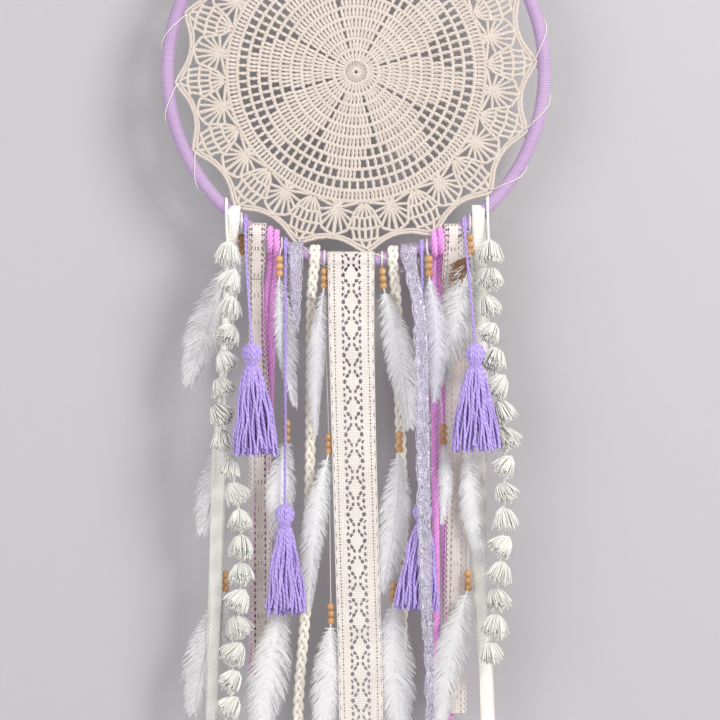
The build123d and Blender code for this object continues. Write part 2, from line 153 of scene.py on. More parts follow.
def twist_ridges(shader, pitch, plies):
    """Ridges that wind round a thread: 0 in the grooves and 1 on the plies."""
    ring = shader.node("ShaderNodeSeparateXYZ")
    shader.link(shader.attribute("ring", "Vector"), ring.inputs[0])
    turn = shader.math("DIVIDE", shader.math("ARCTAN2", ring.outputs[1], ring.outputs[0]), TAU)
    advance = shader.math("DIVIDE", shader.attribute("along"), pitch)
    wound = shader.plus(advance, shader.times(turn, plies))
    wound = shader.plus(wound, shader.times(shader.attribute("shade"), PHASE_SPREAD))
    wave = shader.math("SINE", shader.times(wound, math.pi))
    return shader.math("ABSOLUTE", wave)


def yarn_material(name, light, dark, pitch, plies, roughness=0.75, sheen=0.25, bump=0.12, subsurface=0.0):
    """Plied yarn: wound ridges with painted shade darkening the colour in the grooves between the plies, a
    fine fibre grain and a little colour change from thread to thread.
    """
    shader = Shader(name, roughness, sheen, subsurface=subsurface)
    ridges = twist_ridges(shader, pitch * MM, plies)
    fibre = shader.noise(2600.0, 3.0)
    cloud = shader.noise(60.0)
    # painted shade: the colour goes darker into the grooves between the plies; the fibre grain is a real
    # change of tone
    body = shader.times(shader.ramp(ridges, 0.0, 0.75), shader.ramp(fibre, -0.3, 0.6))
    shade = shader.plus(shader.times(shader.attribute("shade"), 0.5), shader.times(cloud, 0.3))
    tone = shader.plus(shader.times(body, 0.62), shader.times(shade, 0.5))
    shader.colour(shader.mix(shader.ramp(tone, 0.05, 0.95), dark, light))
    shader.bump(shader.plus(ridges, shader.times(fibre, 0.35)), bump * MM * 4, 0.9)
    return shader.material


def cloth_material(name, light, dark, thread, roughness=0.85, sheen=0.2, ribs=False):
    """Woven cloth from the piece's own UV map in metres: crossing threads, or cross ribs for a ribbon, with
    painted shade darkening the colour in the gaps between them.
    """
    shader = Shader(name, roughness, sheen)
    uv = shader.node("ShaderNodeSeparateXYZ")
    shader.link(shader.node("ShaderNodeUVMap", uv_map="cloth").outputs["UV"], uv.inputs[0])
    across, down = (shader.math("ABSOLUTE", shader.math("SINE", shader.times(way, math.pi / thread)))
                    for way in uv.outputs[:2])
    weave = down if ribs else shader.times(across, down)
    grain = shader.noise(1800.0, 3.0)
    cloud = shader.noise(45.0)
    # painted shade: the colour goes darker in the gaps between the threads or ribs
    tone = shader.plus(shader.times(weave, 0.75), shader.times(cloud, 0.5))
    shader.colour(shader.mix(shader.ramp(tone, 0.1, 0.8), dark, light))
    shader.bump(shader.plus(weave, shader.times(grain, 0.5)), 0.35 * MM, 0.9)
    return shader.material


def wood_material():
    """Light turned wood with rings, pores and a wax polish."""
    shader = Shader("bead_wood", 0.42)
    shader.surface.inputs["Coat Weight"].default_value = 0.25
    shader.surface.inputs["Coat Roughness"].default_value = 0.3
    grain = shader.noise(420.0, 4.0, stretch=(1.0, 1.0, 0.18))
    patch = shader.noise(55.0)
    tone = shader.plus(shader.times(grain, 0.6), shader.times(patch, 0.6))
    shader.colour(shader.mix(shader.ramp(tone, 0.35, 0.85), (0.40, 0.19, 0.07), (0.80, 0.50, 0.24)))
    shader.bump(grain, 0.08 * MM, 0.6)
    return shader.material


def feather_material(name, light, dark):
    """Soft barbs, lighter or darker at random from barb to barb, with a pale quill, letting some light
    through.
    """
    shader = Shader(name, 0.7, 0.35)
    cloud = shader.noise(140.0)
    tone = shader.plus(shader.times(shader.attribute("shade"), 0.6), shader.times(cloud, 0.5))
    colour = shader.mix(shader.ramp(tone, 0.1, 0.8), dark, light)
    shader.colour(colour)
    glow = shader.node("ShaderNodeBsdfTranslucent")
    shader.link(colour, glow.inputs["Color"])
    blend = shader.node("ShaderNodeMixShader")
    blend.inputs[0].default_value = 0.08
    shader.link(shader.surface.outputs[0], blend.inputs[1])
    shader.link(glow.outputs[0], blend.inputs[2])
    shader.link(blend.outputs[0], shader.tree.nodes["Material Output"].inputs["Surface"])
    return shader.material


def tinsel_material(name):
    """Lilac yarn wound with silver foil: bright flecks between soft fibres."""
    shader = Shader(name, 0.35, 0.3, metallic=0.35)
    fleck = shader.noise(1500.0, 1.0)
    bright = shader.ramp(fleck, 0.48, 0.62)
    base = shader.mix(shader.attribute("shade"), (0.42, 0.36, 0.54), (0.66, 0.63, 0.76))
    shader.colour(shader.mix(bright, base, (0.96, 0.95, 0.95)))
    shader.bump(fleck, 0.2 * MM, 1.0)
    return shader.material


# yarn: light colour, dark colour (painted shade in the grooves and on inner yarns, and darker threads at
# random), twist pitch (mm), plies, roughness, sheen, bump, subsurface
YARN_KINDS = {
    "hoop_lilac": ((0.68, 0.52, 0.70), (0.44, 0.29, 0.50), 2.2, 2, 0.5, 0.3, 0.10),
    # the tassel's deep violet dark colour is mostly painted shade, in the grooves and on the inner yarns of
    # the skirts
    "tassel_lilac": ((0.62, 0.49, 0.90), (0.16, 0.08, 0.42), 4.5, 2, 0.7, 0.4, 0.03),
    "rope_magenta": ((0.94, 0.45, 0.88), (0.62, 0.19, 0.57), 3.0, 3, 0.6, 0.4, 0.04),
    "doily_cotton": ((0.82, 0.74, 0.67), (0.53, 0.45, 0.38), 1.6, 2, 0.75, 0.2, 0.05),
    "lacing_cotton": ((0.96, 0.93, 0.89), (0.72, 0.66, 0.60), 1.4, 2, 0.7, 0.2, 0.04),
    "braid_cotton": ((1.0, 0.97, 0.88), (0.88, 0.80, 0.66), 2.6, 2, 0.75, 0.25, 0.04),
    "pom_cotton": ((0.99, 0.98, 0.92), (0.88, 0.86, 0.77), 2.0, 2, 0.85, 0.3, 0.01, 0.3),
    "picot_cotton": ((0.98, 0.96, 0.90), (0.80, 0.76, 0.68), 1.2, 2, 0.75, 0.2, 0.03),
    "lace_thread": ((0.93, 0.87, 0.81), (0.72, 0.62, 0.56), 1.2, 2, 0.8, 0.2, 0.03),
}
YARNS = {name: yarn_material(name, *kind) for name, kind in YARN_KINDS.items()}
TINSEL = tinsel_material("tinsel_ribbon")
WOOD = wood_material()
STEEL = Shader("ring_steel", 0.35, metallic=1.0).material
FEATHERS = {
    "white": feather_material("feather_white", (1.0, 0.995, 0.99), (0.90, 0.88, 0.89)),
    "grey": feather_material("feather_grey", (0.90, 0.89, 0.91), (0.66, 0.62, 0.66)),
    "brown": feather_material("feather_brown", (0.42, 0.22, 0.11), (0.20, 0.09, 0.05)),
    "lilac": feather_material("feather_lilac", (0.95, 0.94, 0.99), (0.80, 0.77, 0.90)),
}
# cloth dark colours are painted shade in the gaps between threads and ribs, and darker patches at random
LACE_WIDE = cloth_material("wide_lace_cotton", (0.95, 0.90, 0.84), (0.62, 0.53, 0.47), 1.3 * MM)
LACE_NARROW = cloth_material("narrow_lace_cotton", (0.98, 0.91, 0.84), (0.68, 0.55, 0.49), 1.3 * MM)
RIBBON_IVORY = cloth_material("ivory_ribbon_rib", (0.98, 0.96, 0.90), (0.80, 0.76, 0.68), 1.5 * MM,
                              0.7, 0.3, ribs=True)


# ---- making objects ----
def placed(name, data):
    """A new object in the scene."""
    made = bpy.data.objects.new(name, data)
    bpy.context.scene.collection.objects.link(made)
    return made


def settled_mesh(made):
    """The object's mesh after its modifiers."""
    return bpy.data.meshes.new_from_object(made.evaluated_get(bpy.context.evaluated_depsgraph_get()))


def settle(made):
    """Keeps what the modifiers made as the object's own plain mesh."""
    made.data = settled_mesh(made)
    made.modifiers.clear()
    made.data.name = made.name
    return made


# ---- threads: one geometry tree turns drawn lines into plied threads ----
def thread_tree():
    """Lines with a thick attribute become round threads that know their length along and their way round."""
    tree = bpy.data.node_groups.new("plied_thread", "GeometryNodeTree")
    face = tree.interface
    face.new_socket("Lines", in_out="INPUT", socket_type="NodeSocketGeometry")
    for name, kind in (("Sides", "NodeSocketInt"), ("Material", "NodeSocketMaterial")):
        face.new_socket(name, in_out="INPUT", socket_type=kind)
    face.new_socket("Threads", in_out="OUTPUT", socket_type="NodeSocketGeometry")
    add = tree.nodes.new
    link = tree.links.new
    start = add("NodeGroupInput")
    end = add("NodeGroupOutput")
    curves = add("GeometryNodeMeshToCurve")
    spline = add("GeometryNodeSplineParameter")
    along = add("GeometryNodeStoreNamedAttribute")
    along.inputs["Name"].default_value = "along"
    thick = add("GeometryNodeInputNamedAttribute")
    thick.inputs["Name"].default_value = "thick"
    profile = add("GeometryNodeCurvePrimitiveCircle")
    profile.inputs["Radius"].default_value = 1.0
    place = add("GeometryNodeInputPosition")
    ring = add("GeometryNodeStoreNamedAttribute")
    ring.data_type = "FLOAT_VECTOR"
    ring.inputs["Name"].default_value = "ring"
    tube = add("GeometryNodeCurveToMesh")
    tube.inputs["Fill Caps"].default_value = True
    smooth = add("GeometryNodeSetShadeSmooth")
    realize = add("GeometryNodeRealizeInstances")
    paint = add("GeometryNodeSetMaterial")
    link(start.outputs["Lines"], curves.inputs["Mesh"])
    link(curves.outputs["Curve"], along.inputs["Geometry"])
    link(spline.outputs["Length"], along.inputs["Value"])
    link(start.outputs["Sides"], profile.inputs["Resolution"])
    link(profile.outputs["Curve"], ring.inputs["Geometry"])
    link(place.outputs[0], ring.inputs["Value"])
    link(along.outputs["Geometry"], tube.inputs["Curve"])
    link(ring.outputs["Geometry"], tube.inputs["Profile Curve"])
    link(thick.outputs[0], tube.inputs["Scale"])
    link(tube.outputs["Mesh"], smooth.inputs["Geometry"])
    link(smooth.outputs["Geometry"], realize.inputs["Geometry"])
    link(realize.outputs["Geometry"], paint.inputs["Geometry"])
    link(start.outputs["Material"], paint.inputs["Material"])
    link(paint.outputs["Geometry"], end.inputs["Threads"])
    return tree


THREADS = thread_tree()
SOCKETS = {item.name: item.identifier for item in THREADS.interface.items_tree if item.in_out == "INPUT"}


def threads(name, lines, material, sides=5):
    """One mesh of threads. lines holds (points, radius or radii, shade), each an open line."""
    points = np.concatenate([line[0] for line in lines])
    thick = np.concatenate([np.broadcast_to(line[1], len(line[0])) for line in lines])
    shade = np.concatenate([np.full(len(line[0]), line[2]) for line in lines])
    breaks = np.cumsum([len(line[0]) for line in lines])
    first = np.setdiff1d(np.arange(len(points) - 1), breaks - 1)
    edges = np.stack([first, first + 1], axis=1)
    mesh = bpy.data.meshes.new(name)
    mesh.vertices.add(len(points))
    mesh.vertices.foreach_set("co", points.astype(np.float32).ravel())
    mesh.edges.add(len(edges))
    mesh.edges.foreach_set("vertices", edges.astype(np.int32).ravel())
    for key, values in (("thick", thick), ("shade", shade)):
        mesh.attributes.new(key, "FLOAT", "POINT").data.foreach_set("value", values.astype(np.float32))
    made = placed(name, mesh)
    modifier = made.modifiers.new("threads", "NODES")
    modifier.node_group = THREADS
    modifier[SOCKETS["Sides"]] = sides
    modifier[SOCKETS["Material"]] = material
    return settle(made)


def paint(node, material):
    """Gives a kept CAD piece its material."""
    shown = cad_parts[node]
    shown.data.materials.clear()
    shown.data.materials.append(material)


def fit(piece, body, slot, *nodes):
    """The piece rides on its body and stands for the CAD nodes named. Its slot is not used."""
    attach(piece, body)
    if nodes:
        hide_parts(*nodes)
    return piece


def thread_piece(name, lines, material, sides, body, slot, *nodes):
    """Threads fitted to their body and CAD nodes, the slot handed on to fit."""
    return fit(threads(name, lines, material, sides), body, slot, *nodes)


def route_line(points):
    """Points read from the smooth curve whose control points are the route's."""
    curve = bpy.data.curves.new("route", "CURVE")
    curve.dimensions = "3D"
    curve.resolution_u = 14
    spline = curve.splines.new("NURBS")
    spline.points.add(len(points) - 1)
    for point, at in zip(spline.points, points):
        point.co = (at[0] * MM, at[1] * MM, at[2] * MM, 1.0)
    spline.order_u = 3
    spline.use_endpoint_u = True
    drawn = placed("route", curve)
    line = settled_mesh(drawn)
    read = np.array([v.co[:] for v in line.vertices])
    bpy.data.objects.remove(drawn)
    bpy.data.meshes.remove(line)
    return read


def resample(line, step):
    """The line's points at an even step."""
    lengths = np.concatenate([[0], np.cumsum(np.linalg.norm(np.diff(line, axis=0), axis=1))])
    count = max(3, int(lengths[-1] / step) + 1)
    at = np.linspace(0, lengths[-1], count)
    return np.stack([np.interp(at, lengths, line[:, k]) for k in range(3)], axis=1), at


def side_vectors(line):
    """Two unit vectors across the line at each point, the first as near to +X as it goes."""
    tangent = np.gradient(line, axis=0)
    tangent /= np.linalg.norm(tangent, axis=1)[:, None]
    across = np.array([1.0, 0, 0]) - tangent * tangent[:, :1]
    across /= np.linalg.norm(across, axis=1)[:, None]
    return across, np.cross(tangent, across)


def plies(line, count, offset, radius, pitch, rng, phase=0.0):
    """Threads wound round a line."""
    points, at = resample(line, pitch / 8)
    across, depth = side_vectors(points)
    made = []
    for k in range(count):
        turn = TAU * (at / pitch + k / count) + phase
        wound = points + across * (np.cos(turn) * offset)[:, None] + depth * (np.sin(turn) * offset)[:, None]
        made.append((wound, radius, rng.uniform(0.3, 0.9)))
    return made


def round_hoop(radius, angle, y):
    """Points at these radii and angles round the hoop's middle."""
    return np.stack([radius * np.cos(angle), y, HOOP_Z + radius * np.sin(angle)], axis=1)


# ---- hoop: yarn wound closely round the ring ----
def hoop_yarn():
    rng = np.random.default_rng(11)
    turns = 500
    per_turn = 12
    seat = WRAP_R - 0.72 * MM
    steps = turns * per_turn
    t = np.arange(steps + 1)
    angle = TAU * t / steps + 0.0004 * np.sin(t * 0.31)
    turn = TAU * t / per_turn
    line = round_hoop(HOOP_R + seat * np.cos(turn), angle, seat * np.sin(turn))
    uneven = 0.06 * np.sin(t * 0.011) + 0.05 * rng.standard_normal(steps + 1).cumsum() / 90
    radius = np.clip(0.98 * MM * (1 + uneven), 0.88 * MM, 1.1 * MM)
    thread_piece("hoop_yarn", [(line, radius, 0.6)], YARNS["hoop_lilac"], 6, "hoop", "hoop_yarn")
    paint("hoop_wrap", YARNS["hoop_lilac"])
    paint("hoop_core", STEEL)


def hanging_loop():
    """A two-ply cord: up one side, round the nail and down the other, over a hitch on the hoop."""
    rng = np.random.default_rng(12)
    low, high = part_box("hanging_loop")
    radius = (high[1] - low[1]) / 2
    bend = (high[0] - low[0]) / 2 - radius
    centre_z = high[2] - radius - bend
    arc = np.linspace(-0.12, math.pi + 0.12, 24)
    top = np.stack([bend * np.cos(arc), 0 * arc, centre_z + bend * np.sin(arc)], axis=1)
    foot = np.array([2 * MM, 0, low[2]])
    line = np.concatenate([[foot], top, [foot * [-1, 1, 1]]])
    cord = plies(line, 2, 0.72 * MM, 0.82 * MM, 5 * MM, rng)
    yarn = YARNS["lacing_cotton"]
    thread_piece("hanging_loop_cord", cord, yarn, 8, "hanger", "loop_cord", "hanging_loop")
    top_z = HOOP_Z + HOOP_R
    made = []
    turn = np.linspace(0, TAU, 25)
    out = WRAP_R + 1.25 * MM
    for k in range(4):
        x = (k - 1.5) * 2.3 * MM + 0.6 * MM * turn / TAU
        coil = np.stack([x, out * np.sin(turn), top_z + out * np.cos(turn)], axis=1)
        made.append((coil, 1.15 * MM, rng.uniform(0.3, 0.9)))
    turn = np.linspace(0, TAU, 17)
    out = 2.6 * MM
    for k in range(3):
        z = top_z + WRAP_R + (0.4 + 0.9 * k) * MM
        neck = np.stack([out * np.cos(turn), out * np.sin(turn), z + 0 * turn], axis=1)
        made.append((neck, 1.1 * MM, 0.6))
    thread_piece("hitch_cord", made, yarn, 7, "hoop", "loop_cord", "loop_hitch")


# ---- doily ----
ROUND = 8.2 * MM             # height of one round of stitches
STITCH = 3.05 * MM           # width of one stitch
FIRST_EDGE = 9.3 * MM        # radius where the first full round starts
ROUNDS = 11
PETALS = 8
PETAL_ANGLE = math.radians(38.5)
POINTS = 16
POINT_ANGLE = math.radians(3.3)


def petal_half_width(radius):
    """Half the angle that a petal's close stitches fill at this radius."""
    full = math.pi / PETALS
    fade = (88 * MM - radius) / (40 * MM)
    return full * min(1.0, max(0.0, fade))


def stitch_post(inner, outer, angle, lean, rng, width=0.95 * MM):
    """One tall stitch: two twisted threads standing from round to round."""
    share = np.linspace(0, 1, 6)
    made = []
    for side in (-1, 1):
        twist = np.cos(share * math.pi * 1.9 + 0.4) * side
        radius = inner + (outer - inner) * share
        at = angle + (lean * (share - 0.5) + 0.62 * MM * twist) / radius
        y = 0.32 * MM * np.sin(share * math.pi) * side - 0.1 * MM
        made.append((round_hoop(radius, at, y), width, rng.uniform(0, 1)))
    return made


def chain_round(radius, rng):
    """A round of chain stitches: two threads that cross at every stitch."""
    steps = 4 * max(6, int(TAU * radius / STITCH))
    t = np.arange(steps + 1)
    at = TAU * t / steps
    made = []
    for side in (-1, 1):
        out = radius + 0.75 * MM * (np.sin(TAU * t / 8) * side)
        y = 0.35 * MM * np.cos(TAU * t / 8) * side - 0.2 * MM
        made.append((round_hoop(out, at, y), 0.9 * MM, rng.uniform(0.3, 1)))
    return made


def doily_centre(rng):
    made = chain_round(2.6 * MM, rng) + chain_round(FIRST_EDGE, rng)
    for k in range(24):
        made += stitch_post(3.2 * MM, FIRST_EDGE, TAU * k / 24, 0.0, rng, 0.5 * MM)
    return made


def doily_posts(rng):
    """Close stitches in the petals, and open squares between them."""
    made = []
    for k in range(ROUNDS):
        inner = FIRST_EDGE + ROUND * k
        outer = inner + ROUND
        middle = (inner + outer) / 2
        last = k == ROUNDS - 1
        half = math.pi / PETALS if last else petal_half_width(middle)
        count = 2 * max(2, round(TAU * middle / PETALS / STITCH / 2))
        gather = 1 - 1.5 * MM * PETALS / TAU / middle if 0 < k < 5 else 1
        for petal in range(PETALS):
            centre = PETAL_ANGLE + TAU * petal / PETALS
            for j in range(count):
                away = (j + 0.5) / count * 2 - 1
                angle = centre + away * gather * math.pi / PETALS
                close = abs(away) * math.pi / PETALS <= half
                if not (close or j % 2 == 0):
                    continue
                lean = rng.uniform(-0.35, 0.35) * MM
                angle += rng.uniform(-0.2, 0.2) * MM / middle
                made += stitch_post(inner, outer - 0.3 * MM, angle, lean, rng)
    return made


def polar_line(points, centre, rng, width):
    """A line through (radius in mm, degrees from the point's middle) pairs, as a two-thread cord."""
    knots = []
    for r, degrees in points:
        angle = centre + math.radians(degrees)
        knots.append([r * MM * math.cos(angle), 0.0, HOOP_Z + r * MM * math.sin(angle)])
    line, _ = resample(np.array(knots), 1.3 * MM)
    return plies(line, 2, 0.5 * MM, width, 4.2 * MM, rng, rng.uniform(0, 6))


def doily_point(centre, rng):
    """One of the sixteen points: a leaf of close stitches with fans of long stitches beside it."""
    made = []
    thick = 1.0 * MM
    edge = 180 / POINTS          # degrees from a point's middle to the valley beside it

    def stitch(*points, width=thick):
        made.extend(polar_line(points, centre, rng, width))

    for side in (-1, 1):
        for foot in (2.6, 1.0):
            stitch((99.0, side * (edge - foot)), (105.0, side * 11.0))
        stitch((105.0, side * 11.0), (102.5, side * 6.5), (100.5, side * 2.0))
        for end_r, end_a in ((108.5, 4.2), (114.0, 5.4), (119.5, 6.3), (124.5, 8.4), (126.5, 11.1)):
            stitch((105.5, side * 11.0), (end_r, side * end_a), width=0.92 * MM)
        stitch((101.0, side * 0.6), (107.0, side * 3.6), (115.5, side * 5.4), (122.0, side * 6.6),
               (126.8, side * edge))
        stitch((128.4, side * edge), (128.9, side * 9.0), (130.4, side * 6.5), (132.9, side * 4.4),
               (136.2, side * 2.2), (139.2, 0.0), width=1.1 * MM)
        stitch((126.6, side * edge), (126.9, side * 8.8), (128.2, side * 6.3), (130.8, side * 4.0),
               (134.0, side * 1.8), (135.5, 0.0), width=0.9 * MM)
    for a in (-2.8, -1.0, 1.0, 2.8):
        stitch((102.0, a * 0.3), (112.0, a * 1.1))
    for a in (-4.3, -2.15, 0.0, 2.15, 4.3):
        stitch((112.0, a * 0.9), (120.5, a))
    for a in (-4.7, -2.4, 0.0, 2.4, 4.7):
        stitch((120.5, a), (129.0, a * 0.8))
    for a in (-1.7, 1.7):
        stitch((129.0, a), (136.0, a * 0.3))
    for r, half in ((112.0, 4.4), (120.5, 5.8), (129.0, 4.6)):
        stitch((r - 0.4, -half), (r + 0.9, 0.0), (r - 0.4, half))
    return made


def doily():
    rng = np.random.default_rng(21)
    yarn = YARNS["doily_cotton"]
    lines = doily_centre(rng) + doily_posts(rng)
    posts = thread_piece("doily_stitches", lines, yarn, 5, "hoop", "doily_cotton", "doily")
    rings = []
    for k in range(1, ROUNDS + 1):
        rings += chain_round(FIRST_EDGE + ROUND * k, rng)
    chains = thread_piece("doily_chains", rings, yarn, 5, "hoop", "doily_cotton")
    for part in range(4):
        lines = []
        for k in range(part * 4, part * 4 + 4):
            lines += doily_point(POINT_ANGLE + TAU * k / POINTS, rng)
        thread_piece(f"doily_points_{part + 1}", lines, yarn, 4, "hoop", "doily_cotton")


def lacing():
    """One string: through a point, over the front of the hoop, round it and on to the next point."""
    t = np.linspace(0, POINTS, POINTS * 40 + 1)
    angle = POINT_ANGLE + TAU * t / POINTS
    turn = math.pi - TAU * t
    near = np.abs((t + 0.5) % 1 - 0.5)
    out_of_tube = WRAP_R + 0.75 * MM + 3.6 * MM * np.exp(-(near / 0.05) ** 2)
    out = HOOP_R + out_of_tube * np.cos(turn)
    line = round_hoop(out, angle, -out_of_tube * np.sin(turn))
    string = [(line, 0.42 * MM, 0.7)]
    thread_piece("lacing_string", string, YARNS["lacing_cotton"], 5, "hoop", "lacing_string", "doily_lacing")


# ---- strands that go round the hoop and hang ----
STRAND_STEP = 0.7 * MM       # spacing of the points along a strand


def loop_gap(width):
    """Air between the hoop and a loop of this width (mm), for the strand's swing."""
    return 0.35 + width / 2 * math.sin(math.radians(2.5))


def hung_line(x, width, thick, stations):
    """Centreline and width (metres) of a strand that goes over the hoop and through its stations (mm)."""
    radius = WRAP_R + (loop_gap(width) + thick / 2) * MM
    lean = math.cos(hoop_slope(x * MM))
    top_z = hoop_z(x * MM)
    tail = np.array(stations) * MM
    side = 1 if tail[0, 1] > 0 else -1
    reach = min(1.0, abs(tail[0, 1]) / radius)
    turn = np.linspace(math.radians(205 if side > 0 else 238), -math.acos(reach), 34)
    ring = np.stack([0 * turn + x * MM, side * radius * np.cos(turn), top_z + radius * np.sin(turn) / lean,
                     0 * turn + width * MM], axis=1)
    flap_z = top_z - (radius + (24 if side > 0 else 8) * MM) / lean
    flap_x = np.interp(-flap_z, -tail[:, 2], tail[:, 0]) if side > 0 else x * MM
    flap_wide = np.interp(-flap_z, -tail[:, 2], tail[:, 3]) if side > 0 else width * MM
    far = [flap_x, side * (min(radius, abs(tail[0, 1])) - 1.1 * thick * MM), flap_z, flap_wide]
    line = np.concatenate([[far], ring, tail])
    lengths = np.concatenate([[0], np.cumsum(np.linalg.norm(np.diff(line[:, :3], axis=0), axis=1))])
    at = np.arange(0, lengths[-1], STRAND_STEP)
    even = np.stack([np.interp(at, lengths, line[:, k]) for k in range(4)], axis=1)
    ring_end = int(lengths[len(ring)] / STRAND_STEP) + 2
    padded = np.pad(even[ring_end:], ((14, 14), (0, 0)), mode="edge")
    soft = np.stack([np.convolve(padded[:, k], np.ones(29) / 29, mode="valid") for k in range(4)], axis=1)
    blend = np.clip((np.arange(len(soft)) - 4) / 20, 0, 1)[:, None]
    soft[:, 2] = even[ring_end:, 2]
    even[ring_end:] += (soft - even[ring_end:]) * blend
    return even[:, :3], even[:, 3], at


def cloth(name, line, width, at, cell, thick, keep, material, curl=0.0):
    """A woven band along a line: keep(across, along, half width) says where there is cloth."""
    across, depth = side_vectors(line)
    columns = int(width.max() / cell) + 1
    share = np.linspace(-1, 1, columns + 1)
    rows = len(line)
    half = width[:, None] / 2
    wave = curl * (share[None, :] ** 2 * 1.4 - 0.5) * np.sin(at / 0.035)[:, None]
    ripple = 0.35 * MM * np.sin(at / 0.011)[:, None] * np.cos(share * 2.2)[None, :]
    free = np.clip((at - 0.05) / 0.03, 0, 1)[:, None]
    points = line[:, None, :] + across[:, None, :] * (share[None, :] * half)[:, :, None]
    points = points + depth[:, None, :] * ((wave + ripple) * free)[:, :, None]
    x_mid = (share[1:] + share[:-1]) / 2 * half[:-1]
    s_mid = np.broadcast_to((at[:-1] + 0.35 * MM)[:, None], x_mid.shape)
    kept = keep(x_mid, s_mid, np.broadcast_to(half[:-1], x_mid.shape))
    row, column = np.nonzero(kept)
    first = row * (columns + 1) + column
    faces = np.stack([first, first + 1, first + columns + 2, first + columns + 1], axis=1)
    used, inverse = np.unique(faces, return_inverse=True)
    mesh = bpy.data.meshes.new(name)
    mesh.from_pydata(points.reshape(-1, 3)[used].tolist(), [], inverse.reshape(faces.shape).tolist())
    flat_x = (share[None, :] * half).reshape(-1)[used]
    flat_s = np.repeat(at, columns + 1)[used]
    corner = np.empty(len(mesh.loops), dtype=np.int32)
    mesh.loops.foreach_get("vertex_index", corner)
    uv = mesh.uv_layers.new(name="cloth")
    uv.data.foreach_set("uv", np.stack([flat_x, flat_s], axis=1)[corner].astype(np.float32).ravel())
    mesh.polygons.foreach_set("use_smooth", np.ones(len(faces), dtype=bool))
    mesh.materials.append(material)
    made = placed(name, mesh)
    solid = made.modifiers.new("thickness", "SOLIDIFY")
    solid.thickness = thick
    solid.offset = 0.0
    settle(made)
    cells = np.diff(share).mean() * half[:-1] * STRAND_STEP
    return made, float((kept * cells).sum())


def edge_loops(line, width, at, pitch, reach, rng):
    """Small thread loops along both edges of a band."""
    across, _ = side_vectors(line)
    fine = np.arange(0, at[-1], pitch / 5)
    centre = np.stack([np.interp(fine, at, line[:, k]) for k in range(3)], axis=1)
    out = np.stack([np.interp(fine, at, across[:, k]) for k in range(3)], axis=1)
    half = np.interp(fine, at, width) / 2
    made = []
    for side in (-1, 1):
        wave = half + reach * np.abs(np.sin(math.pi * fine / pitch)) - 0.3 * MM
        made.append((centre + out * (side * wave)[:, None], 0.42 * MM, rng.uniform(0.4, 1.0)))
    return made


def near(value, period, centre):
    """Distance to the nearest repeat of centre."""
    return np.abs((value - centre + period / 2) % period - period / 2)


# the holes in one lozenge: distance from the middle line, level, half width, half height and slant (mm)
LACE_SLOTS = ((2.0, 2.6, 1.05, 1.5, 0.2), (4.0, 5.8, 1.3, 1.6, 0.35), (6.3, 0.0, 1.05, 1.6, 0.0),
              (6.6, 4.6, 0.85, 1.3, 0.3), (6.1, 10.2, 1.45, 1.8, 0.0))


def wide_lace_pattern(across, along, half):
    """Slots that cross between solid lozenges, a row of eyelets down each side, and scalloped edges."""
    x = np.abs(across) / MM
    down = near(along, 20.4 * MM, 0) / MM
    open_here = (near(along, 2.5 * MM, 0) < 0.55 * MM) & (np.abs(x - 12.9) < 0.5)
    for middle, level, wide, tall, slant in LACE_SLOTS:
        off = (x - middle - slant * (down - level)) / wide
        open_here |= off ** 2 + ((down - level) / tall) ** 2 < 1
    scallop = half - 0.9 * MM * (0.5 - 0.5 * np.cos(TAU * along / (10.2 * MM)))
    return ~open_here & (np.abs(across) < scallop)


def narrow_lace_pattern(across, along, half):
    """Two columns of upright holes, pairs of slits between them, small eyelets and pointed edges."""
    x = np.abs(across) / MM
    holes = ((x - 4.1) / 0.8) ** 2 + (near(along, 4.9 * MM, 0) / (1.35 * MM)) ** 2 < 1
    holes |= (np.abs(x - 4.1) < 0.35) & (near(along, 4.9 * MM, 2.45 * MM) < 0.5 * MM)
    holes |= (np.abs(x - 1.3) < 0.4) & (near(along, 20.6 * MM, 3 * MM) < 1.5 * MM)
    holes |= (np.abs(x - 6.1) < 0.35) & (near(along, 4.9 * MM, 2.45 * MM) < 0.6 * MM)
    point = half - 1.2 * MM * near(along, 4.1 * MM, 0) / (2.05 * MM)
    return ~holes & (np.abs(across) < point)


def whole_cloth(across, along, half):
    return np.abs(across) < half


def hung(depth, *stations):
    """Stations (x, z, width) of a strand that hangs at one depth (mm)."""
    return [(x, depth, z, width) for x, z, width in stations]


# ---- depths of the layers, and each strand: x on the hoop, width there, loop thickness, stations (mm) ----
DEPTH_METAL = -25.5
DEPTH_WIDE_LACE = -5.4
DEPTH_RIBBON = 3.1
DEPTH_LACE = 4.5
DEPTH_BRAID = 7.6
WIDE_LACE = {
    "wide_lace": (-3.8, 35.0, 1.0, hung(
        DEPTH_WIDE_LACE, (-3.4, -400, 34), (-1.5, -480, 33), (1, -570, 33), (3.2, -640, 33),
        (4.6, -722, 33))),
}
NARROW_LACE = {
    "narrow_lace_left": (-75.9, 12.4, 1.0, hung(
        DEPTH_LACE, (-77, -335, 10), (-76.8, -350, 9.5), (-76.4, -400, 10.5), (-74.2, -450, 15.5),
        (-73.4, -653, 16))),
    "narrow_lace_right": (75.0, 12.4, 1.0, hung(
        DEPTH_LACE, (74.6, -335, 12), (73.7, -350, 14), (77.5, -430, 16), (78.8, -500, 16.5),
        (76.5, -595, 15.5), (76.5, -689, 15))),
}
